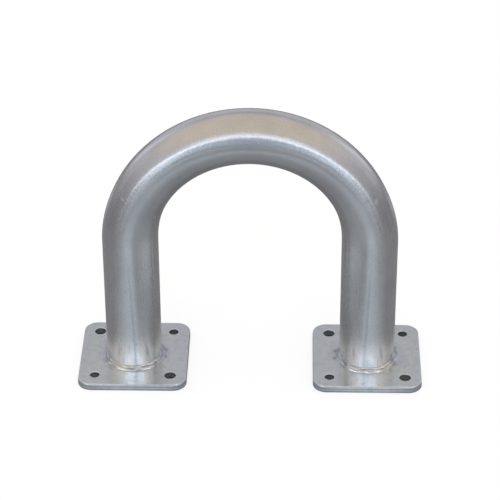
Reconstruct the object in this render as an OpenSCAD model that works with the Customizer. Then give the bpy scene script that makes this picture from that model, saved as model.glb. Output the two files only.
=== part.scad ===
// Hoop barrier: a steel tube bent into a hoop, welded at each foot to a plate that bolts down.
// Millimetres. X runs along the hoop, Y through it and Z up. The origin lies on the ground,
// under the middle of the hoop.

/* [Hoop] */
// Width of the hoop over the outer sides of its legs
hoop_w = 400; // [360:1:460]
// Height of the hoop above the ground, base plates included
hoop_h = 400; // [340:1:600]
// Outer diameter of the tube
tube_od = 76.1; // [60.3:0.1:88.9]
// Wall thickness of the tube
tube_wall = 3.2; // [2:0.1:5]

/* [Base plates] */
// Width of a base plate, along the hoop
plate_w = 150; // [144:1:170]
// Depth of a base plate, through the hoop
plate_d = 150; // [144:1:200]
// Thickness of a base plate
plate_t = 10; // [6:0.5:15]
// Radius of the plate's corners
corner_r = 19; // [5:0.5:30]

/* [Holes] */
// Distance from the plate's side edges to the centres of its bolt holes
hole_edge_x = 23; // [16:0.5:25]
// Distance from the plate's front and rear edges to the centres of its bolt holes
hole_edge_y = 23; // [16:0.5:25]
// Diameter of the smaller bolt holes, front left and rear right
small_hole_d = 13; // [9:0.5:14]
// Diameter of the larger bolt holes, front right and rear left
large_hole_d = 15.5; // [14:0.5:18]
// Diameter of the drain hole under the tube, which lets zinc and air through
drain_d = 20; // [10:1:40]

/* [Welds] */
// Leg length of the fillet weld round each foot of the tube
weld_leg = 6; // [3:0.5:8]
// Height of the bead's rounded face above a flat fillet
weld_crown = 0.8; // [0.2:0.1:1.2]

/* [Hidden] */

// Both directions along an axis
SIDES = [-1, 1];
// Flats that the bead's face is drawn with
bead_steps = 8;
// Length by which a cutter runs past the faces that it opens
over = 1;

tube_r = tube_od / 2;
bore_r = tube_r - tube_wall;
// The crown is half a circle, so its radius follows from the spacing of the legs
leg_x = hoop_w / 2 - tube_r;
bend_r = leg_x;
bend_z = hoop_h - tube_r - bend_r;

// The hoop as a solid bar of the given radius, with its legs starting at foot_z
module hoop_bar(radius, foot_z) {
    translate([0, 0, bend_z])
        rotate([90, 0, 0])
            rotate_extrude(angle = 180, $fn = 160)
                translate([bend_r, 0])
                    circle(radius, $fn = 96);
    for (side = SIDES)
        translate([side * leg_x, 0, foot_z])
            cylinder(h = bend_z - foot_z, r = radius, $fn = 96);
}

module hoop_tube() {
    color([0.62, 0.64, 0.68])
        difference() {
            hoop_bar(tube_r, plate_t);
            hoop_bar(bore_r, plate_t - over);
        }
}

module plate_outline() {
    square([plate_w - 2 * corner_r, plate_d], center = true);
    square([plate_w, plate_d - 2 * corner_r], center = true);
    for (x = SIDES, y = SIDES)
        translate([x * (plate_w / 2 - corner_r), y * (plate_d / 2 - corner_r)])
            circle(corner_r, $fn = 64);
}

// A hole straight down through the plate
module plate_hole(diameter) {
    translate([0, 0, -over])
        cylinder(h = plate_t + 2 * over, d = diameter, $fn = 64);
}

// The two hole sizes lie on opposite diagonals, the same way round on both plates
module bolt_holes() {
    for (x = SIDES, y = SIDES)
        translate([x * (plate_w / 2 - hole_edge_x), y * (plate_d / 2 - hole_edge_y), 0])
            plate_hole(x == y ? small_hole_d : large_hole_d);
}

module base_plate(side) {
    translate([side * leg_x, 0, 0])
        color([0.64, 0.66, 0.67])
            difference() {
                linear_extrude(plate_t)
                    plate_outline();
                bolt_holes();
                plate_hole(drain_d);
            }
}

// Points of the bead's face, from the plate up to the tube, bulging by weld_crown
function bead_point(t) =
    let (bulge = 4 * weld_crown * t * (1 - t) / sqrt(2))
    [tube_r + weld_leg * (1 - t) + bulge, weld_leg * t + bulge];

module weld(side) {
    face = [for (i = [0 : bead_steps]) bead_point(i / bead_steps)];
    translate([side * leg_x, 0, plate_t])
        color([0.78, 0.78, 0.76])
            rotate_extrude($fn = 96)
                polygon(concat([[tube_r, 0]], face));
}

hoop_tube();
base_plate(-1);  // base_plate_left
base_plate(1);  // base_plate_right
weld(-1);  // weld_left
weld(1);  // weld_right
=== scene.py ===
import math
import bmesh
import bpy
from mathutils import Matrix, Vector, noise


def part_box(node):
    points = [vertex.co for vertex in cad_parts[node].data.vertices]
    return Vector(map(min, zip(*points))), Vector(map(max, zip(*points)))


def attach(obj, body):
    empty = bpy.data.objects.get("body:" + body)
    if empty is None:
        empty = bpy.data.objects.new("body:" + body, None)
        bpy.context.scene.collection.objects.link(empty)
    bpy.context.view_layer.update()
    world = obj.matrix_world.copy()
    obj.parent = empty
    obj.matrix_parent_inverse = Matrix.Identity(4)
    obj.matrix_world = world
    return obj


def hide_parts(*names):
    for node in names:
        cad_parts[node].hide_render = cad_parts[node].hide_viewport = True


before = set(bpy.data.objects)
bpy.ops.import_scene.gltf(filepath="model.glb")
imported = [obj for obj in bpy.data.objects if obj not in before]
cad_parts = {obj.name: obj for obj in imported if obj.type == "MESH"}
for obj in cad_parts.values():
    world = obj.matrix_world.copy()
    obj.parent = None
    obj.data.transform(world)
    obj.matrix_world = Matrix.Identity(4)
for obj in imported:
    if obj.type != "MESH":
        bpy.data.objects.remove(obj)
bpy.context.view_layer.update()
print("frame loaded:", ", ".join(sorted(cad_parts)))

# driving dimensions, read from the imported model
tubeLow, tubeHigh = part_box("hoop_tube")
plateLow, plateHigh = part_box("base_plate_right")
legX = (plateLow.x + plateHigh.x) / 2  # middle of each leg, and the radius of the bend
tubeRadius = tubeHigh.x - legX
footZ = plateHigh.z
bendZ = tubeHigh.z - tubeRadius - legX
legLength = bendZ - footZ
sides = {"left": -1, "right": 1}
mergeGap = 1e-6  # points nearer together than this are one


def linkPiece(name, bm, material, node):
    mesh = bpy.data.meshes.new(name)
    bm.to_mesh(mesh)
    bm.free()
    for face in mesh.polygons:
        face.use_smooth = True
    mesh.materials.append(material)
    piece = bpy.data.objects.new(name, mesh)
    bpy.context.scene.collection.objects.link(piece)
    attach(piece, "root")
    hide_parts(node)
    return piece


def smoothStep(low, high, value):
    t = min(max((value - low) / (high - low), 0.0), 1.0)
    return t * t * (3 - 2 * t)


# node helpers
def addNode(tree, kind, place, **settings):
    node = tree.nodes.new(kind)
    node.location = place
    for key, value in settings.items():
        setattr(node, key, value)
    return node


# links another node's socket, or sets a number, a vector or a color
def feed(tree, socket, value):
    if isinstance(value, bpy.types.NodeSocket):
        tree.links.new(value, socket)
    else:
        socket.default_value = (*value, 1.0) if socket.type == "RGBA" else value


def mathNode(tree, operation, place, *values):
    node = addNode(tree, "ShaderNodeMath", place, operation=operation)
    for socket, value in zip(node.inputs, values):
        feed(tree, socket, value)
    return node.outputs[0]


# the settings name such ranges by the span that a value lies in, and where given the span that it becomes
def rangeNode(tree, value, place, source, target=(0.0, 1.0), smooth=True):
    node = addNode(tree, "ShaderNodeMapRange", place, clamp=True)
    node.interpolation_type = "SMOOTHSTEP" if smooth else "LINEAR"
    tree.links.new(value, node.inputs["Value"])
    for name, number in zip(("From Min", "From Max", "To Min", "To Max"), (*source, *target)):
        node.inputs[name].default_value = number
    return node.outputs["Result"]


def mixColor(tree, place, factor, first, second, blend="MIX"):
    node = addNode(tree, "ShaderNodeMix", place, data_type="RGBA", blend_type=blend)
    for index, value in ((0, factor), (6, first), (7, second)):
        feed(tree, node.inputs[index], value)
    return node.outputs[2]


def mixValue(tree, place, factor, first, second):
    node = addNode(tree, "ShaderNodeMix", place, data_type="FLOAT")
    for index, value in ((0, factor), (2, first), (3, second)):
        feed(tree, node.inputs[index], value)
    return node.outputs[0]


def noiseNode(tree, place, vector, scale, detail=2.0, roughness=0.5):
    node = addNode(tree, "ShaderNodeTexNoise", place)
    for name, value in (("Vector", vector), ("Scale", scale), ("Detail", detail), ("Roughness", roughness)):
        feed(tree, node.inputs[name], value)
    return node.outputs["Fac"]


def splitVector(tree, place, vector):
    node = addNode(tree, "ShaderNodeSeparateXYZ", place)
    tree.links.new(vector, node.inputs["Vector"])
    return node.outputs


def squareSum(tree, place, first, second):
    squares = [mathNode(tree, "MULTIPLY", (place[0] - 150, place[1] - 150 * index), value, value)
               for index, value in enumerate((first, second))]
    return mathNode(tree, "ADD", place, *squares)


def objectSpace(tree, place):
    return addNode(tree, "ShaderNodeTexCoord", place).outputs["Object"]


def attributeVector(tree, place, name):
    return addNode(tree, "ShaderNodeAttribute", place, attribute_name=name).outputs["Vector"]


falling = (1.0, 0.0)  # target of a mask that ends where its span ends


def newGroup(name, inputs, outputs):
    tree = bpy.data.node_groups.new(name, "ShaderNodeTree")
    for label, kind in inputs.items():
        tree.interface.new_socket(label, in_out="INPUT", socket_type="NodeSocket" + kind)
    for label, kind in outputs.items():
        tree.interface.new_socket(label, in_out="OUTPUT", socket_type="NodeSocket" + kind)
    enter = addNode(tree, "NodeGroupInput", (-900, 0))
    leave = addNode(tree, "NodeGroupOutput", (900, 0))
    return tree, enter.outputs, leave.inputs


# uneven tone of dipped zinc: slow clouds with a faint crystal pattern in them
def buildZincBloom():
    contrast = (0.32, 0.68)
    tree, enter, leave = newGroup(
        "zincBloom",
        {"Vector": "Vector", "Cloud Scale": "Float", "Crystal Scale": "Float", "Crystal Share": "Float",
         "Dark Color": "Color", "Light Color": "Color"},
        {"Color": "Color", "Bloom": "Float"},
    )
    clouds = noiseNode(tree, (-600, 200), enter["Vector"], enter["Cloud Scale"], detail=5.0, roughness=0.55)
    clouds = rangeNode(tree, clouds, (-350, 200), contrast)
    crystals = addNode(tree, "ShaderNodeTexVoronoi", (-600, -200), feature="F1")
    tree.links.new(enter["Vector"], crystals.inputs["Vector"])
    tree.links.new(enter["Crystal Scale"], crystals.inputs["Scale"])
    grey = addNode(tree, "ShaderNodeRGBToBW", (-400, -200))
    tree.links.new(crystals.outputs["Color"], grey.inputs["Color"])
    bloom = mixValue(tree, (-50, 0), enter["Crystal Share"], clouds, grey.outputs["Val"])
    tree.links.new(mixColor(tree, (300, 100), bloom, enter["Dark Color"], enter["Light Color"]), leave["Color"])
    tree.links.new(bloom, leave["Bloom"])
    return tree


# fine unevenness that breaks up a reflection: pimples of zinc over a slow ripple
def buildZincSkin():
    tree, enter, leave = newGroup(
        "zincSkin",
        {"Vector": "Vector", "Ripple Scale": "Float", "Grain Scale": "Float", "Grain Share": "Float"},
        {"Height": "Float"},
    )
    ripple = noiseNode(tree, (-500, 200), enter["Vector"], enter["Ripple Scale"])
    grain = noiseNode(tree, (-500, -150), enter["Vector"], enter["Grain Scale"], detail=3.0)
    grain = mathNode(tree, "MULTIPLY", (-200, -150), grain, enter["Grain Share"])
    tree.links.new(mathNode(tree, "ADD", (100, 0), ripple, grain), leave["Height"])
    return tree


# fine scratches drawn out along the last axis of the incoming coordinates
def buildDrawnLines():
    tree, enter, leave = newGroup(
        "drawnLines",
        {"Vector": "Vector", "Across": "Float", "Along": "Float"},
        {"Lines": "Float"},
    )
    parts = splitVector(tree, (-650, 0), enter["Vector"])
    joined = addNode(tree, "ShaderNodeCombineXYZ", (-250, 0))
    for index, scale in enumerate(("Across", "Across", "Along")):
        stretched = mathNode(tree, "MULTIPLY", (-450, 150 - 150 * index), parts[index], enter[scale])
        tree.links.new(stretched, joined.inputs[index])
    lines = noiseNode(tree, (0, 0), joined.outputs["Vector"], 1.0, detail=3.0, roughness=0.65)
    tree.links.new(lines, leave["Lines"])
    return tree


# a small mark with a ragged edge, repeated on both sides of the hoop and at its back
def buildSmallMark():
    raggedScale, raggedShare, edge = 360.0, 1.8, (1.15, 1.9)
    tree, enter, leave = newGroup(
        "smallMark",
        {"Vector": "Vector", "Middle": "Vector", "Radius": "Float", "Strength": "Float"},
        {"Mask": "Float"},
    )
    mirrored = addNode(tree, "ShaderNodeVectorMath", (-650, 100), operation="ABSOLUTE")
    tree.links.new(enter["Vector"], mirrored.inputs[0])
    gap = addNode(tree, "ShaderNodeVectorMath", (-450, 100), operation="DISTANCE")
    tree.links.new(mirrored.outputs[0], gap.inputs[0])
    tree.links.new(enter["Middle"], gap.inputs[1])
    share = mathNode(tree, "DIVIDE", (-250, 100), gap.outputs["Value"], enter["Radius"])
    ragged = noiseNode(tree, (-450, -200), enter["Vector"], raggedScale)
    share = mathNode(tree, "MULTIPLY_ADD", (-50, 0), ragged, raggedShare, share)
    mask = rangeNode(tree, share, (150, 0), edge, falling)
    tree.links.new(mathNode(tree, "MULTIPLY", (400, 0), mask, enter["Strength"]), leave["Mask"])
    return tree


zincBloom = buildZincBloom()
zincSkin = buildZincSkin()
drawnLines = buildDrawnLines()
smallMark = buildSmallMark()


def placeGroup(tree, group, place, vector, values):
    node = addNode(tree, "ShaderNodeGroup", place, node_tree=group)
    tree.links.new(vector, node.inputs["Vector"])
    for name, value in values.items():
        feed(tree, node.inputs[name], value)
    return node.outputs


def placeLines(tree, place, vector, scales):
    return placeGroup(tree, drawnLines, place, vector, {"Across": scales[0], "Along": scales[1]})["Lines"]


# each spot of the marks is its middle, radius and strength
def paintMarks(tree, place, space, tone, marks):
    x, y = place
    for index, (middle, radius, strength) in enumerate(marks["spots"]):
        spot = placeGroup(tree, smallMark, (x - 300, y + 250 * index), space,
                          {"Middle": middle, "Radius": radius, "Strength": strength})
        tone = mixColor(tree, (x + 150 * index, y), spot["Mask"], tone, marks["tone"])
    return tone


def startZinc(name, zinc):
    material = bpy.data.materials.new(name)
    material.use_nodes = True
    tree = material.node_tree
    tree.nodes.clear()
    out = addNode(tree, "ShaderNodeOutputMaterial", (1500, 0))
    shader = addNode(tree, "ShaderNodeBsdfPrincipled", (1150, 0))
    tree.links.new(shader.outputs["BSDF"], out.inputs["Surface"])
    space = objectSpace(tree, (-1600, 0))
    bloom = placeGroup(tree, zincBloom, (-800, 300), space,
                       {"Cloud Scale": zinc["clouds"], "Crystal Scale": zinc["crystals"],
                        "Crystal Share": zinc["crystalShare"], "Dark Color": zinc["darkTone"],
                        "Light Color": zinc["lightTone"]})
    skin = placeGroup(tree, zincSkin, (-800, -100), space,
                      {"Ripple Scale": zinc["ripples"], "Grain Scale": zinc["grains"],
                       "Grain Share": zinc["grainShare"]})
    return material, tree, shader, space, bloom, skin["Height"]


def finishZinc(tree, shader, zinc, tone, rough, height):
    tree.links.new(tone, shader.inputs["Base Color"])
    shader.inputs["Metallic"].default_value = zinc["metal"]
    tree.links.new(rough, shader.inputs["Roughness"])
    bump = addNode(tree, "ShaderNodeBump", (600, -400))
    bump.inputs["Distance"].default_value = zinc["bumpDepth"]
    tree.links.new(height, bump.inputs["Height"])
    tree.links.new(bump.outputs["Normal"], shader.inputs["Normal"])


# dark spots that the welding left beside each foot, on the tube, the bead and the plate
burns = {
    "tone": (0.33, 0.335, 0.38),
    "spots": [((legX - 0.0425, 0.008, 0.0120), 0.0070, 0.8), ((legX - 0.030, 0.029, 0.0125), 0.0055, 0.7),
              ((legX + 0.0335, 0.018, 0.0225), 0.0050, 0.8), ((legX + 0.037, 0.019, 0.0125), 0.0070, 0.7),
              ((legX - 0.006, 0.0376, 0.052), 0.0026, 0.4)],
}

# small light marks on both shoulders
scuffs = {
    "tone": (1.0, 1.0, 1.0),
    "spots": [((0.1680, 0.0290, bendZ + 0.0800), 0.0042, 0.6), ((0.1250, 0.0267, bendZ + 0.0506), 0.0024, 0.9)],
}

tubeZinc = {
    "darkTone": (0.60, 0.615, 0.64),
    "lightTone": (0.71, 0.725, 0.75),
    "clouds": 16.0,
    "crystals": 120.0,
    "crystalShare": 0.28,
    "ripples": 45.0,
    "grains": 900.0,
    "grainShare": 0.12,
    "metal": 0.97,
    "brushing": 0.76,  # how far the fine rings round the tube draw out a reflection
    "bumpDepth": 0.00002,
    # fine lines along the tube: how close together and how short, what they do to the tone, roughness and bump
    "lines": (420.0, 26.0),
    "lineTone": ((0.3, 0.7), (0.98, 1.015)),
    "roughness": ((0.35, 0.65), (0.262, 0.288)),
    "lineShare": 0.05,
    # small dents round the bend, which fray the edge of a reflection
    "dents": (90.0, 260.0),
    "dentShare": ((bendZ, bendZ + 0.06), (0.0, 12.0)),
    # painted shade: a darker tone on the inside of the bend, where the zinc is also rougher
    "insideShadeTone": (0.84, 0.84, 0.84),
    "insideRoughness": 0.10,
    "insideAcross": (0.014, -0.014),
    "insideAbove": (bendZ, bendZ + 0.05),
    # painted highlight just above the weld, at the front and the back: a brighter tone that is partly frosted zinc
    # and partly a painted reflection of the plate
    "footPaintedSheen": (0.95, 0.97, 1.0),
    "footRoughness": 0.27,
    "footTop": (footZ + 0.029, footZ + 0.060),
    "footFront": ((0.036, 0.022), (0.85, 0.0)),
    "footStreaks": ((0.3, 0.6), (0.65, 1.0)),
    # painted reflection of a shadow: a faint dark line down the front of each leg; how it wanders, and leans from the
    # foot up
    "shadowLineTone": (0.80, 0.83, 0.88),
    "shadowLineWander": ((0.3, 0.7), (-0.0007, 0.0007)),
    "shadowLineLean": ((0.02, 0.2), (0.005, -0.002)),
    "shadowLineWidth": (0.0005, 0.0024),
    "shadowLineFront": (-0.033, -0.020),
    "shadowLineTop": (bendZ - 0.10, bendZ + 0.02),
}


def buildTubeZinc():
    material, tree, shader, space, bloom, skin = startZinc("tubeZinc", tubeZinc)
    along = attributeVector(tree, (-1600, -400), "tubeSpace")
    inTube = splitVector(tree, (-1400, -700), along)
    inSpace = splitVector(tree, (-1400, -900), space)
    lines = placeLines(tree, (-800, -400), along, tubeZinc["lines"])
    streak = rangeNode(tree, lines, (-300, 150), *tubeZinc["lineTone"])
    tone = mixColor(tree, (0, 250), 1.0, bloom["Color"], streak, "MULTIPLY")

    inside = rangeNode(tree, inTube["X"], (200, -1050), tubeZinc["insideAcross"])
    above = rangeNode(tree, inSpace["Z"], (200, -1250), tubeZinc["insideAbove"])
    inside = mathNode(tree, "MULTIPLY", (400, -1050), inside, above)
    # painted shade: darkens the inside of the bend
    tone = mixColor(tree, (550, 100), inside, tone, tubeZinc["insideShadeTone"], "MULTIPLY")

    foot = rangeNode(tree, inSpace["Z"], (-1100, -1300), tubeZinc["footTop"], falling)
    forward = mathNode(tree, "ABSOLUTE", (-1250, -1500), inTube["Y"])
    forward = rangeNode(tree, forward, (-1100, -1500), *tubeZinc["footFront"])
    foot = mathNode(tree, "MULTIPLY", (-800, -1400), foot, forward)
    streak = rangeNode(tree, lines, (-800, -1550), *tubeZinc["footStreaks"])
    foot = mathNode(tree, "MULTIPLY", (-650, -1400), foot, streak)
    # painted highlight, partly frosted zinc: brighter streaked tone on the foot
    tone = mixColor(tree, (600, 350), foot, tone, tubeZinc["footPaintedSheen"])

    wander = rangeNode(tree, lines, (-500, -700), *tubeZinc["shadowLineWander"], smooth=False)
    lean = rangeNode(tree, inSpace["Z"], (-500, -500), *tubeZinc["shadowLineLean"], smooth=False)
    off = mathNode(tree, "ADD", (-400, -700), inTube["X"], wander)
    off = mathNode(tree, "ABSOLUTE", (-150, -700), mathNode(tree, "ADD", (-300, -600), off, lean))
    shadowLine = rangeNode(tree, off, (0, -700), tubeZinc["shadowLineWidth"], falling)
    front = rangeNode(tree, inTube["Y"], (-1100, -800), tubeZinc["shadowLineFront"], falling)
    leg = rangeNode(tree, inSpace["Z"], (-1100, -1050), tubeZinc["shadowLineTop"], falling)
    shadowLine = mathNode(tree, "MULTIPLY", (200, -750), shadowLine, mathNode(tree, "MULTIPLY", (0, -900), front, leg))
    # painted reflection of a shadow: the dark line down each leg
    tone = mixColor(tree, (750, 300), shadowLine, tone, tubeZinc["shadowLineTone"], "MULTIPLY")
    tone = paintMarks(tree, (750, 700), space, tone, burns)
    tone = paintMarks(tree, (750, 1700), space, tone, scuffs)

    rough = rangeNode(tree, lines, (-300, -300), *tubeZinc["roughness"])
    dull = mathNode(tree, "MULTIPLY", (200, -300), inside, tubeZinc["insideRoughness"])
    rough = mathNode(tree, "ADD", (400, -300), rough, dull)
    rough = mixValue(tree, (600, -200), foot, rough, tubeZinc["footRoughness"])

    height = mathNode(tree, "MULTIPLY", (-300, -550), lines, tubeZinc["lineShare"])
    height = mathNode(tree, "ADD", (0, -400), skin, height)
    dents = placeLines(tree, (-800, -2200), along, tubeZinc["dents"])
    bent = rangeNode(tree, inSpace["Z"], (-800, -2400), *tubeZinc["dentShare"])
    dents = mathNode(tree, "MULTIPLY", (-500, -2300), dents, bent)
    height = mathNode(tree, "ADD", (200, -450), height, dents)

    finishZinc(tree, shader, tubeZinc, tone, rough, height)
    shader.inputs["Anisotropic"].default_value = tubeZinc["brushing"]
    tree.links.new(attributeVector(tree, (600, -650), "tubeAlong"), shader.inputs["Tangent"])
    return material


plateZinc = {
    "darkTone": (0.64, 0.69, 0.74),
    "lightTone": (0.81, 0.86, 0.91),
    "clouds": 22.0,
    "crystals": 160.0,
    "crystalShare": 0.4,
    "ripples": 110.0,
    "grains": 700.0,
    "grainShare": 0.5,
    "metal": 0.95,
    "roughness": ((0.2, 0.8), (0.24, 0.13)),
    "bumpDepth": 0.00004,
    "specks": ((0.48, 0.76), (0.93, 1.05)),  # how the skin's height changes the tone
    # dull ring round the weld with a brighter fringe, by the distance from the leg's middle
    "ringWander": ((0.2, 0.8), (-0.007, 0.007)),
    "heatTone": (0.94, 0.94, 0.955),
    "heat": ((0.044, 0.058), (0.85, 0.0)),
    "fringeTone": (1.06, 1.05, 1.0),
    "fringeReach": 0.058,
    "fringe": ((0.0005, 0.004), (0.8, 0.0)),
    # the darker line that the cut leaves along the edge, the sawn part below it, the burr at the bottom
    "lineTone": (0.62, 0.63, 0.66),
    "lineZ": 0.0062,
    "lineWidth": (0.0005, 0.0016),
    "sawnTone": (0.86, 0.83, 0.80),
    "sawnBelow": (0.0058, 0.0050),
    "burrTone": (0.62, 0.60, 0.58),
    "burrBelow": (0.0028, 0.0014),
}


def buildPlateZinc():
    material, tree, shader, space, bloom, skin = startZinc("plateZinc", plateZinc)
    place = splitVector(tree, (-1000, 900), space)
    aside = mathNode(tree, "SUBTRACT", (-650, 900), mathNode(tree, "ABSOLUTE", (-800, 900), place["X"]), legX)
    reach = mathNode(tree, "SQRT", (-150, 850), squareSum(tree, (-300, 850), aside, place["Y"]))
    wander = rangeNode(tree, bloom["Bloom"], (-300, 650), *plateZinc["ringWander"], smooth=False)
    reach = mathNode(tree, "ADD", (0, 800), reach, wander)
    heat = rangeNode(tree, reach, (150, 900), *plateZinc["heat"])
    tone = mixColor(tree, (500, 700), heat, (1.0, 1.0, 1.0), plateZinc["heatTone"])
    off = mathNode(tree, "SUBTRACT", (0, 650), reach, plateZinc["fringeReach"])
    fringe = rangeNode(tree, mathNode(tree, "ABSOLUTE", (150, 700), off), (300, 700), *plateZinc["fringe"])
    tone = mixColor(tree, (650, 700), fringe, tone, plateZinc["fringeTone"])

    off = mathNode(tree, "SUBTRACT", (150, 1100), place["Z"], plateZinc["lineZ"])
    off = mathNode(tree, "ABSOLUTE", (300, 1100), off)
    line = rangeNode(tree, off, (450, 1100), plateZinc["lineWidth"], falling)
    tone = mixColor(tree, (750, 800), line, tone, plateZinc["lineTone"], "MULTIPLY")
    sawn = rangeNode(tree, place["Z"], (450, 1300), plateZinc["sawnBelow"])
    tone = mixColor(tree, (800, 1100), sawn, tone, plateZinc["sawnTone"], "MULTIPLY")
    burr = rangeNode(tree, place["Z"], (450, 1500), plateZinc["burrBelow"])
    tone = mixColor(tree, (900, 1100), burr, tone, plateZinc["burrTone"], "MULTIPLY")

    tone = mixColor(tree, (850, 500), 1.0, bloom["Color"], tone, "MULTIPLY")
    specks = rangeNode(tree, skin, (650, 200), *plateZinc["specks"])
    tone = mixColor(tree, (950, 400), 1.0, tone, specks, "MULTIPLY")
    tone = paintMarks(tree, (900, 1700), space, tone, burns)
    rough = rangeNode(tree, bloom["Bloom"], (-300, -200), *plateZinc["roughness"])
    finishZinc(tree, shader, plateZinc, tone, rough, skin)
    return material


weldZinc = {
    "darkTone": (0.58, 0.61, 0.65),
    "lightTone": (0.82, 0.84, 0.86),
    "clouds": 60.0,
    "crystals": 300.0,
    "crystalShare": 0.3,
    "ripples": 220.0,
    "grains": 1500.0,
    "grainShare": 0.3,
    "metal": 0.95,
    "roughness": ((0.2, 0.8), (0.28, 0.14)),
    "bumpDepth": 0.00012,
    # painted shade: darker tone in the groove between the two runs
    "valleyShadeTone": (0.60, 0.60, 0.63),
    "valley": (0.25, 0.75),
    # painted shade: darker tone at the bead's left and right sides
    "sideShadeTone": (0.74, 0.76, 0.80),
    "side": (0.7, 0.3),
    "creamTone": (1.0, 0.95, 0.84),  # stain at the outer front
    "cream": ((0.80, 0.98), (0.0, 0.75)),
}


def buildWeldZinc():
    material, tree, shader, space, bloom, skin = startZinc("weldZinc", weldZinc)
    shape = splitVector(tree, (-1000, 600), attributeVector(tree, (-1200, 600), "beadShape"))
    # painted shade in the groove between the runs
    valley = rangeNode(tree, shape["X"], (-600, 700), weldZinc["valley"], falling)
    tone = mixColor(tree, (-100, 500), valley, bloom["Color"], weldZinc["valleyShadeTone"], "MULTIPLY")
    # painted shade at the bead's left and right sides
    side = mathNode(tree, "ABSOLUTE", (-800, 800), shape["Z"])
    side = rangeNode(tree, side, (-600, 500), weldZinc["side"])
    tone = mixColor(tree, (0, 500), side, tone, weldZinc["sideShadeTone"], "MULTIPLY")
    cream = rangeNode(tree, shape["Y"], (-600, 900), *weldZinc["cream"])
    tone = mixColor(tree, (100, 600), cream, tone, weldZinc["creamTone"], "MULTIPLY")
    tone = paintMarks(tree, (300, 1300), space, tone, burns)
    rough = rangeNode(tree, bloom["Bloom"], (-300, -200), *weldZinc["roughness"])
    finishZinc(tree, shader, weldZinc, tone, rough, skin)
    return material


tubeMaterial = buildTubeZinc()
plateMaterial = buildPlateZinc()
weldMaterial = buildWeldZinc()
print("materials built")

hoop = {
    "sides": 144,
    "bendSteps": 160,
    "legSteps": 36,
    "wall": 0.0032,
    "flattening": 0.045,  # share by which bending thins the tube across the bend
    "flattensOver": 0.5,  # radians of the bend over which that sets in
}


# place in the tube's own space: outward across the bend, through the hoop, along the tube
def tubePlace(point):
    if point.z < bendZ:
        side = math.copysign(1.0, point.x)
        run = point.z - footZ if side < 0 else 2 * legLength + math.pi * legX - (point.z - footZ)
        return Vector((side * point.x - legX, point.y, run))
    turn = math.atan2(point.z - bendZ, -point.x)
    return Vector((math.hypot(point.x, point.z - bendZ) - legX, point.y, legLength + turn * legX))


def flattenBend(vert, place):
    turn = (place.z - legLength) / legX
    if turn <= 0 or turn >= math.pi:
        return
    share = hoop["flattening"] * smoothStep(0, hoop["flattensOver"], min(turn, math.pi - turn))
    outward = Vector((-math.cos(turn), 0, math.sin(turn)))
    vert.co -= outward * place.x * share


def buildHoopTube():
    bm = bmesh.new()
    start = Matrix.Translation((-legX, 0, footZ))
    bmesh.ops.create_circle(bm, segments=hoop["sides"], radius=tubeRadius, matrix=start)
    edges = bm.edges[:]
    rise = Vector((0, 0, legLength / hoop["legSteps"]))

    def runLeg(edges, step):
        for _ in range(hoop["legSteps"]):
            made = bmesh.ops.extrude_edge_only(bm, edges=edges)["geom"]
            verts = [item for item in made if isinstance(item, bmesh.types.BMVert)]
            edges = [item for item in made if isinstance(item, bmesh.types.BMEdge)]
            bmesh.ops.translate(bm, verts=verts, vec=step)
        return edges

    edges = runLeg(edges, rise)
    spun = bmesh.ops.spin(bm, geom=edges + list({vert for edge in edges for vert in edge.verts}),
                          cent=(0, 0, bendZ), axis=(0, 1, 0), angle=math.pi, steps=hoop["bendSteps"])
    edges = [item for item in spun["geom_last"] if isinstance(item, bmesh.types.BMEdge)]
    runLeg(edges, -rise)
    bmesh.ops.remove_doubles(bm, verts=bm.verts[:], dist=mergeGap)
    bmesh.ops.recalc_face_normals(bm, faces=bm.faces[:])
    # for the material: each point's place in the tube's own space, and the tube's direction there
    space = bm.verts.layers.float_vector.new("tubeSpace")
    along = bm.verts.layers.float_vector.new("tubeAlong")
    for vert in bm.verts:
        place = tubePlace(vert.co)
        turn = min(max((place.z - legLength) / legX, 0.0), math.pi)
        vert[space] = place
        vert[along] = Vector((math.sin(turn), 0, math.cos(turn)))
        flattenBend(vert, place)
    piece = linkPiece("hoopTube", bm, tubeMaterial, "hoop_tube")
    wall = piece.modifiers.new("wall", "SOLIDIFY")
    wall.thickness = hoop["wall"]
    wall.offset = -1
    wall.use_rim = True


plate = {
    "cornerRadius": 0.019,
    "cornerSteps": 16,
    "holeEdge": 0.023,  # from each side of the plate to the middle of a bolt hole
    "smallHoleRadius": 0.0065,
    "largeHoleRadius": 0.00775,
    "drainRadius": 0.010,
    "holeSteps": 64,
    "margin": 0.0016,  # even band of faces kept beside every hole, and twice that inside the outline
    # cut edge from bottom to top: share of the thickness, how far it stands back in mm
    "edge": [(0.0, 0.7), (0.012, 0.42), (0.035, 0.18), (0.07, 0.04), (0.12, 0.0), (0.30, 0.02), (0.46, 0.06),
             (0.52, 0.10), (0.56, 0.20), (0.60, 0.27), (0.66, 0.30), (0.80, 0.34), (0.86, 0.40), (0.90, 0.50),
             (0.94, 0.68), (0.965, 0.88), (0.985, 1.12), (0.996, 1.38), (1.0, 1.65)],
    "hole": [(0.0, 0.45), (0.02, 0.2), (0.06, 0.05), (0.12, 0.0), (0.88, 0.0), (0.93, 0.06), (0.96, 0.16),
             (0.985, 0.36), (1.0, 0.6)],
    "onOutline": 1e-5,  # how near a point lies to an outline that it belongs to
    "ringSlack": 1e-3,  # how far below its ring a point may lie, in rings
}


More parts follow.
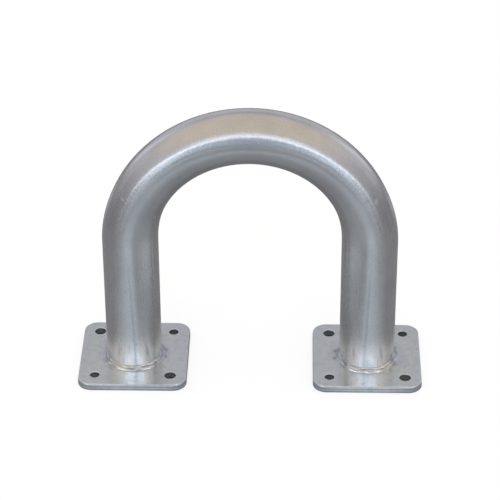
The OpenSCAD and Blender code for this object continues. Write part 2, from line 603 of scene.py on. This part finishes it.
def plateLoop(bm, size, back):
    made = bmesh.ops.create_grid(bm, x_segments=1, y_segments=1, size=0.5)["verts"]
    bmesh.ops.scale(bm, verts=made, vec=(size.x - 2 * back, size.y - 2 * back, 1))
    face = made[0].link_faces[0]
    made = bmesh.ops.bevel(bm, geom=list(face.verts) + list(face.edges), offset=plate["cornerRadius"] - back,
                           segments=plate["cornerSteps"], affect="VERTICES", profile=0.5, material=-1)["verts"]
    edges = list({edge for vert in made for edge in vert.link_edges})
    bmesh.ops.delete(bm, geom=list({face for vert in made for face in vert.link_faces}), context="FACES_ONLY")
    return edges


def holeLoop(bm, x, y, radius):
    made = bmesh.ops.create_circle(bm, segments=plate["holeSteps"], radius=radius,
                                   matrix=Matrix.Translation((x, y, 0)))["verts"]
    return list({edge for vert in made for edge in vert.link_edges})


# the way into the metal and the edge profile at a point of an outline, or nothing elsewhere
def wallWay(point, size, holes):
    flat = Vector((point.x, point.y, 0))
    for x, y, radius in holes:
        out = flat - Vector((x, y, 0))
        if abs(out.length - radius) < plate["onOutline"]:
            return out.normalized(), plate["hole"]
    reach = Vector((size.x / 2 - plate["cornerRadius"], size.y / 2 - plate["cornerRadius"]))
    core = Vector((min(max(point.x, -reach.x), reach.x), min(max(point.y, -reach.y), reach.y), 0))
    if abs((flat - core).length - plate["cornerRadius"]) < plate["onOutline"]:
        return (core - flat).normalized(), plate["edge"]
    return None


def buildBasePlate(label):
    low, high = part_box("base_plate_" + label)
    size = high - low
    reachX, reachY = size.x / 2 - plate["holeEdge"], size.y / 2 - plate["holeEdge"]
    holes = [(0, 0, plate["drainRadius"])]
    for x in (-1, 1):
        for y in (-1, 1):
            holes.append((x * reachX, y * reachY, plate["smallHoleRadius" if x == y else "largeHoleRadius"]))
    bm = bmesh.new()
    # outlines with a narrow band beside each, then the flat between the bands
    bands = [(plateLoop(bm, size, 0), plateLoop(bm, size, 2 * plate["margin"]))]
    for x, y, radius in holes:
        bands.append((holeLoop(bm, x, y, radius), holeLoop(bm, x, y, radius + plate["margin"])))
    for rim, inner in bands:
        bmesh.ops.bridge_loops(bm, edges=rim + inner)
    bmesh.ops.triangle_fill(bm, edges=[edge for _, inner in bands for edge in inner], use_beauty=True,
                            normal=(0, 0, 1))
    top = bmesh.ops.extrude_face_region(bm, geom=bm.faces[:])["geom"]
    bmesh.ops.translate(bm, verts=[item for item in top if isinstance(item, bmesh.types.BMVert)],
                        vec=(0, 0, size.z))
    bmesh.ops.recalc_face_normals(bm, faces=bm.faces[:])
    # every wall is cut into as many rings as the cut edge has, then shaped to its profile
    walls = [edge for edge in bm.edges if abs(edge.verts[0].co.z - edge.verts[1].co.z) > size.z / 2]
    bmesh.ops.subdivide_edges(bm, edges=walls, cuts=len(plate["edge"]) - 2, use_grid_fill=True)
    for vert in bm.verts:
        found = wallWay(vert.co, size, holes)
        if not found:
            continue
        way, profile = found
        place = vert.co.z / size.z * (len(profile) - 1)
        step = min(int(place + plate["ringSlack"]), len(profile) - 2)
        below, above = profile[step], profile[step + 1]
        blend = min(max(place - step, 0.0), 1.0)
        height = below[0] + (above[0] - below[0]) * blend
        back = below[1] + (above[1] - below[1]) * blend
        vert.co = Vector((vert.co.x, vert.co.y, height * size.z)) + way * back * 0.001
    bmesh.ops.translate(bm, verts=bm.verts[:], vec=(sides[label] * legX, 0, low.z))
    linkPiece("basePlate" + label.capitalize(), bm, plateMaterial, "base_plate_" + label)


bead = {
    "leg": 0.006,
    "sunk": 0.0004,  # how far the bead runs into the tube and the plate
    "faceSteps": 14,
    "turns": 360,
    "crown": 0.0009,
    "hollow": 0.0010,  # how much thinner the bead is at the sides
    "sideShare": 0.25,  # how much of its ridges is left there
    "sideSpan": (0.25, 0.75),
    # the groove between the two runs: depth, width and middle on the face, and how it wanders up and down
    "valley": 0.0012,
    "valleyWidth": 0.13,
    "valleyMiddle": 0.55,
    "valleyDrift": 0.13,
    "valleyDrifts": 6,
    "waves": 9,
    "waveDepth": 0.0010,
    "waveSlant": 5.0,
    "waveWander": 2.2,
    "rippleCount": 130,
    "rippleDepth": 0.00012,
    "rippleBow": 48,
    "rippleWander": 5,
    "wanderScale": 2.2,
    "wanderDepth": 0.0006,
    "seed": 3.0,
    "shapeHeight": 0.0014,  # lift of the surface that the material takes as its whole range
    "stainTurn": 0.6,  # radians from the front to the stain
}


# the bead is full and ridged at the front and back, and thinner and smoother at the sides
def beadHeight(share, angle, seed):
    dome = math.sin(math.pi * share)
    full = bead["sideShare"] + (1 - bead["sideShare"]) * smoothStep(*bead["sideSpan"], abs(math.sin(angle)))
    humps = dome * (bead["crown"] - bead["hollow"] * (1 - full))
    valleyShare = bead["valleyMiddle"] + bead["valleyDrift"] * math.sin(bead["valleyDrifts"] * angle + seed)
    humps -= full * bead["valley"] * math.exp(-((share - valleyShare) / bead["valleyWidth"]) ** 2)
    wander = noise.noise(Vector((math.cos(angle) * bead["wanderScale"], math.sin(angle) * bead["wanderScale"], seed)))
    phase = angle * bead["waves"] + bead["waveSlant"] * share + bead["waveWander"] * wander
    wave = full * bead["waveDepth"] * (abs(math.sin(phase / 2)) - 0.5) * dome
    phase = angle * bead["rippleCount"] + bead["rippleBow"] * (share - 0.5) ** 2 + bead["rippleWander"] * wander
    ripple = bead["rippleDepth"] * math.sin(phase)
    return humps + wave + ripple * dome + bead["wanderDepth"] * wander * dome


def buildWeld(label):
    side = sides[label]
    bm = bmesh.new()
    inner, base, reach = tubeRadius - bead["sunk"], footZ - bead["sunk"], bead["leg"] + bead["sunk"]
    profile = [bm.verts.new((inner, 0, base))]
    for step in range(bead["faceSteps"] + 1):
        share = step / bead["faceSteps"]
        profile.append(bm.verts.new((inner + reach * (1 - share), 0, base + reach * share)))
    for first, second in zip(profile, profile[1:] + profile[:1]):
        bm.edges.new((first, second))
    bmesh.ops.spin(bm, geom=bm.verts[:] + bm.edges[:], cent=(0, 0, 0), axis=(0, 0, 1), angle=2 * math.pi,
                   steps=bead["turns"], use_merge=True)
    bmesh.ops.remove_doubles(bm, verts=bm.verts[:], dist=mergeGap)
    bmesh.ops.recalc_face_normals(bm, faces=bm.faces[:])
    # for the material: how high a point lies on the bead, how near to the stain, how near to the front
    shape = bm.verts.layers.float_vector.new("beadShape")
    stain = Vector((math.sin(side * bead["stainTurn"]), -math.cos(bead["stainTurn"])))
    for vert in bm.verts:
        radius = math.hypot(vert.co.x, vert.co.y)
        share = (vert.co.z - base) / reach
        if radius - inner < mergeGap and share < mergeGap:
            continue
        angle = math.atan2(vert.co.y, vert.co.x)
        out = Vector((math.cos(angle), math.sin(angle)))
        lift = beadHeight(share, angle, bead["seed"] + side) * math.sqrt(0.5)
        vert[shape] = Vector((0.5 + lift / bead["shapeHeight"], stain.dot(out), -out.y))
        vert.co += Vector((out.x * lift, out.y * lift, lift))
    bmesh.ops.translate(bm, verts=bm.verts[:], vec=(side * legX, 0, 0))
    linkPiece("weld" + label.capitalize(), bm, weldMaterial, "weld_" + label)


buildHoopTube()
for label in sides:
    buildBasePlate(label)
    buildWeld(label)
print("pieces built")

ground = {
    "radius": 7.0,
    "sides": 96,
    "tone": (0.284, 0.302, 0.330),
    "farShadeTone": (0.19, 0.19, 0.22),  # painted shade on the floor far out at both sides
    "farFrom": (0.8, 1.2),
    "underShadeTone": (0.155, 0.17, 0.163),  # painted shade on the floor under the plates, seen through their holes
    "underInset": 0.013,  # how far in from the plates' edges that begins
    "underGlow": 0.03,
    "glow": 0.76,  # white that the camera sees on top of the lit floor
    # light that only the metal mirrors, in front of each leg: spread to both sides in radians, where it ends,
    # strength, and the stretch between the legs and far forward that is free of it, which the crown mirrors
    "fan": {"spread": 1.4, "ends": (0.24, 0.42), "strength": 0.36, "across": (0.04, 0.14), "ahead": (0.16, 0.08)},
    # and in spots: before the plates, behind the hoop, far in front and before the legs (middle, reach, strength)
    "pools": [((legX, -0.088), (0.085, 0.020), 0.42), ((0.72, 0.62), (0.28, 0.20), 0.40),
              ((0.72, -1.40), (0.48, 0.80), 0.68), ((0.22, -0.52), (0.22, 0.28), 0.45)],
    "poolEdge": (0.1, 1.0),
    "poolColor": (0.77, 0.90, 1.0),
}


def mirroredLight(tree, place):
    fan = ground["fan"]
    across = mathNode(tree, "ABSOLUTE", (-900, -1700), place["X"])
    aside = mathNode(tree, "SUBTRACT", (-700, -1700), across, legX)
    ahead = mathNode(tree, "MULTIPLY", (-700, -1900), place["Y"], -1.0)
    angle = mathNode(tree, "ABSOLUTE", (-350, -1700), mathNode(tree, "ARCTAN2", (-500, -1700), aside, ahead))
    light = rangeNode(tree, angle, (-200, -1700), (0.0, fan["spread"]), (fan["strength"], 0.0))
    far = mathNode(tree, "SQRT", (-200, -1900), squareSum(tree, (-350, -1900), aside, ahead))
    far = rangeNode(tree, far, (-50, -1900), fan["ends"], falling)
    light = mathNode(tree, "MULTIPLY", (0, -1700), light, far)
    kept = mathNode(tree, "MAXIMUM", (50, -2200), rangeNode(tree, across, (-150, -2200), fan["across"]),
                    rangeNode(tree, ahead, (-150, -2400), fan["ahead"]))
    light = mathNode(tree, "MULTIPLY", (150, -1700), light, kept)
    for index, (middle, reach, strength) in enumerate(ground["pools"]):
        row = -600 - 350 * index
        aside = mathNode(tree, "SUBTRACT", (-700, row), across, middle[0])
        aside = mathNode(tree, "DIVIDE", (-500, row), aside, reach[0])
        ahead = mathNode(tree, "SUBTRACT", (-700, row - 150), place["Y"], middle[1])
        ahead = mathNode(tree, "DIVIDE", (-500, row - 150), ahead, reach[1])
        far = squareSum(tree, (-150, row), aside, ahead)
        spot = rangeNode(tree, far, (0, row), ground["poolEdge"], (strength, 0.0))
        light = mathNode(tree, "MAXIMUM", (200, row), spot, light)
    return light


def buildFloor():
    bm = bmesh.new()
    bmesh.ops.create_circle(bm, cap_ends=True, segments=ground["sides"], radius=ground["radius"])
    mesh = bpy.data.meshes.new("floor")
    bm.to_mesh(mesh)
    bm.free()
    floor = bpy.data.objects.new("floor", mesh)
    bpy.context.scene.collection.objects.link(floor)
    material = bpy.data.materials.new("floorWhite")
    material.use_nodes = True
    tree = material.node_tree
    tree.nodes.clear()
    out = addNode(tree, "ShaderNodeOutputMaterial", (900, 0))
    matte = addNode(tree, "ShaderNodeBsdfDiffuse", (300, 150))
    glow = addNode(tree, "ShaderNodeEmission", (300, -150))
    path = addNode(tree, "ShaderNodeLightPath", (-900, 200)).outputs
    place = splitVector(tree, (-900, -200), objectSpace(tree, (-1100, -200)))
    # the glow stops under the plates, so the bolt holes look down on a floor with painted shade
    across = mathNode(tree, "ABSOLUTE", (-700, -150), place["X"])
    aside = mathNode(tree, "SUBTRACT", (-500, -150), across, legX)
    aside = mathNode(tree, "ABSOLUTE", (-300, -150), aside)
    deep = mathNode(tree, "ABSOLUTE", (-500, -350), place["Y"])
    outside = mathNode(tree, "MAXIMUM", (-100, -250), aside, deep)
    underEdge = (plateHigh.y - plateLow.y) / 2 - ground["underInset"]
    outside = mathNode(tree, "GREATER_THAN", (50, -250), outside, underEdge)
    distant = rangeNode(tree, across, (-100, 500), ground["farFrom"])
    # painted shade on the floor far out at both sides
    tone = mixColor(tree, (50, 450), distant, ground["tone"], ground["farShadeTone"])
    # painted shade under the plates
    tone = mixColor(tree, (150, 350), outside, ground["underShadeTone"], tone)
    tree.links.new(tone, matte.inputs["Color"])
    light = mathNode(tree, "MULTIPLY", (350, -200), mirroredLight(tree, place), outside)
    under = mathNode(tree, "SUBTRACT", (200, -400), 1.0, outside)
    under = mathNode(tree, "MULTIPLY", (350, -400), under, ground["underGlow"])
    light = mathNode(tree, "MAXIMUM", (450, -200), light, under)
    mirrored = mathNode(tree, "MAXIMUM", (-700, 50), path["Is Glossy Ray"], path["Is Transmission Ray"])
    light = mathNode(tree, "MULTIPLY", (550, 50), mirrored, light)
    shine = mixColor(tree, (0, 150), light, (0.0, 0.0, 0.0), ground["poolColor"])
    seen = mathNode(tree, "MULTIPLY", (-500, 250), path["Is Camera Ray"], outside)
    shine = mixColor(tree, (150, 150), seen, shine, (ground["glow"],) * 3)
    tree.links.new(shine, glow.inputs["Color"])
    lit = addNode(tree, "ShaderNodeAddShader", (600, 0))
    tree.links.new(matte.outputs[0], lit.inputs[0])
    tree.links.new(glow.outputs[0], lit.inputs[1])
    tree.links.new(lit.outputs[0], out.inputs["Surface"])
    mesh.materials.append(material)


# spans are parts of a direction: X to the side, Y away from the front, Z up
room = {
    "wallTone": (0.57, 0.57, 0.60),
    # the walls are dimmer low down at both sides
    "sideAcross": (0.7, 0.95),
    "sideLow": ((0.1, 0.5), (0.28, 0.0)),
    "sideBack": (0.35, 0.0),
    "sideFront": ((-0.6, -0.15), (0.3, 1.0)),
    # and in the stretch of the back wall that the plates mirror
    "dipBack": ((0.3, 0.6), (0.0, 0.30)),
    "dipLevel": 0.56,
    "dipWidth": (0.04, 0.14),
    # warmer ceiling, which reaches lower at the sides
    "ceilingTone": (0.72, 0.62, 0.51),
    "ceiling": (0.55, 0.85),
    "ceilingSlope": 0.22,
    # the dim side of the room that the camera stands in
    "openingTone": (0.34, 0.385, 0.44),
    "openingAhead": (0.74, 0.86),
    "openingBelow": (0.62, 0.5),
    "ambient": 1.3,  # strength of the room as light on matt surfaces
}


def roomTone(tree, way):
    across = mathNode(tree, "ABSOLUTE", (-750, 550), way["X"])
    aside = rangeNode(tree, across, (-550, 550), room["sideAcross"])
    low = rangeNode(tree, way["Z"], (-550, 800), *room["sideLow"])
    low = mathNode(tree, "MULTIPLY", (-350, 850), low, rangeNode(tree, way["Y"], (-550, 1050), room["sideBack"]))
    low = mathNode(tree, "MULTIPLY", (-250, 850), low, rangeNode(tree, way["Y"], (-550, 1750), *room["sideFront"]))
    shade = mathNode(tree, "SUBTRACT", (-200, 600), 1.0, mathNode(tree, "MULTIPLY", (-350, 650), aside, low))
    tone = mixColor(tree, (-50, 450), 1.0, room["wallTone"], shade, "MULTIPLY")
    level = mathNode(tree, "SUBTRACT", (-700, 1500), way["Z"], room["dipLevel"])
    level = rangeNode(tree, mathNode(tree, "ABSOLUTE", (-550, 1500), level), (-450, 1600), room["dipWidth"], falling)
    behind = rangeNode(tree, way["Y"], (-550, 1300), *room["dipBack"])
    behind = mathNode(tree, "MULTIPLY", (-350, 1400), behind, level)
    shade = mathNode(tree, "SUBTRACT", (-200, 1200), 1.0, behind)
    tone = mixColor(tree, (50, 450), 1.0, tone, shade, "MULTIPLY")
    high = mathNode(tree, "MULTIPLY_ADD", (-750, 250), across, room["ceilingSlope"], way["Z"])
    high = rangeNode(tree, high, (-600, 200), room["ceiling"])
    tone = mixColor(tree, (100, 200), high, tone, room["ceilingTone"])
    ahead = mathNode(tree, "MULTIPLY", (-750, -150), way["Y"], -1.0)
    opening = mathNode(tree, "MULTIPLY", (-300, -250), rangeNode(tree, ahead, (-550, -150), room["openingAhead"]),
                       rangeNode(tree, way["Z"], (-550, -400), room["openingBelow"]))
    return mixColor(tree, (250, 100), opening, tone, room["openingTone"])


def buildWorld():
    world = bpy.data.worlds.new("studioWorld")
    bpy.context.scene.world = world
    world.use_nodes = True
    tree = world.node_tree
    tree.nodes.clear()
    out = addNode(tree, "ShaderNodeOutputWorld", (1100, 0))
    way = addNode(tree, "ShaderNodeTexCoord", (-1100, 0)).outputs["Generated"]
    lit = addNode(tree, "ShaderNodeBackground", (600, 100))
    tree.links.new(roomTone(tree, splitVector(tree, (-900, 0), way)), lit.inputs["Color"])
    path = addNode(tree, "ShaderNodeLightPath", (-300, 500)).outputs
    mirrored = mathNode(tree, "MAXIMUM", (0, 400), path["Is Glossy Ray"], path["Is Transmission Ray"])
    strength = rangeNode(tree, mirrored, (300, 400), (0.0, 1.0), (room["ambient"], 1.0), smooth=False)
    tree.links.new(strength, lit.inputs["Strength"])
    # the camera sees plain white behind the floor
    white = addNode(tree, "ShaderNodeBackground", (600, -200))
    white.inputs["Color"].default_value = (1.0, 1.0, 1.0, 1.0)
    mixed = addNode(tree, "ShaderNodeMixShader", (850, 0))
    tree.links.new(path["Is Camera Ray"], mixed.inputs[0])
    tree.links.new(lit.outputs[0], mixed.inputs[1])
    tree.links.new(white.outputs[0], mixed.inputs[2])
    tree.links.new(mixed.outputs[0], out.inputs["Surface"])


# soft boxes on the right, repeated on the left: each runs between two directions (azimuth from the front,
# elevation, in degrees), faces the hoop, and has a width in degrees and a brightness as the hoop sees it
softBoxes = {
    "Band": {"ends": ((1.2, 36.5), (31, 21)), "width": 8.2, "radiance": 1.22, "color": (0.84, 0.93, 1.0)},
    "LowBand": {"ends": ((30, 21.5), (56, 1)), "width": 6.0, "radiance": 1.6, "color": (0.84, 0.93, 1.0)},
    "Glow": {"ends": ((25, 7), (40, -2)), "width": 14.0, "radiance": 1.15, "color": (0.8, 0.92, 1.0)},
    "Haze": {"ends": ((1, 45), (38, 28)), "width": 9.0, "radiance": 0.44, "color": (0.9, 0.96, 1.0)},
    "Rim": {"ends": ((132, 0), (132, 26)), "width": 14.0, "radiance": 0.30, "color": (0.95, 0.97, 1.0)},
}
# light on matt surfaces that the metal doesn't mirror
frontFill = {"ends": ((-20, 36), (20, 36)), "width": 24.0, "radiance": 1.0, "color": (0.9, 0.96, 1.0)}
hoopMiddle = Vector((0, 0, 0.28))
boxDistance = 6.0


def wayTo(azimuth, elevation):
    azimuth, elevation = math.radians(azimuth), math.radians(elevation)
    return Vector((math.sin(azimuth) * math.cos(elevation), -math.cos(azimuth) * math.cos(elevation),
                   math.sin(elevation)))


def buildSoftBox(name, box, side, mirrored):
    first, second = (hoopMiddle + wayTo(side * azimuth, elevation) * boxDistance
                     for azimuth, elevation in box["ends"])
    length = (second - first).length
    width = math.radians(box["width"]) * boxDistance
    data = bpy.data.lights.new(name, "AREA")
    data.shape = "RECTANGLE"
    data.size, data.size_y = length, width
    data.energy = box["radiance"] * math.pi * length * width
    data.color = box["color"]
    light = bpy.data.objects.new(name, data)
    middle = (first + second) / 2
    along = (second - first).normalized()
    back = middle - hoopMiddle
    back = (back - along * back.dot(along)).normalized()
    turn = Matrix((along, back.cross(along), back)).transposed().to_4x4()
    light.matrix_world = Matrix.Translation(middle) @ turn
    light.visible_camera = False
    light.visible_glossy = mirrored
    bpy.context.scene.collection.objects.link(light)


def buildSoftBoxes():
    for name, box in softBoxes.items():
        for label, side in sides.items():
            buildSoftBox(label + name, box, side, True)
    buildSoftBox("frontFill", frontFill, 1, False)


view = {
    "azimuth": 1.40,
    "elevation": 33.15,
    "roll": -0.28,
    "distance": 2.981,
    "target": (0.0, 0.0, 0.1835),
    "lens": 158.4,
    "sensor": 36,
}


def buildCamera():
    data = bpy.data.cameras.new("camera")
    data.lens = view["lens"]
    data.sensor_width = view["sensor"]
    camera = bpy.data.objects.new("camera", data)
    back = wayTo(view["azimuth"], view["elevation"])
    camera.location = Vector(view["target"]) + back * view["distance"]
    turn = (-back).to_track_quat("-Z", "Y").to_matrix() @ Matrix.Rotation(math.radians(view["roll"]), 3, "Z")
    camera.rotation_euler = turn.to_euler()
    bpy.context.scene.collection.objects.link(camera)
    bpy.context.scene.camera = camera


buildFloor()
buildWorld()
buildSoftBoxes()
buildCamera()
bpy.context.scene.view_settings.view_transform = "Standard"
print("studio built")
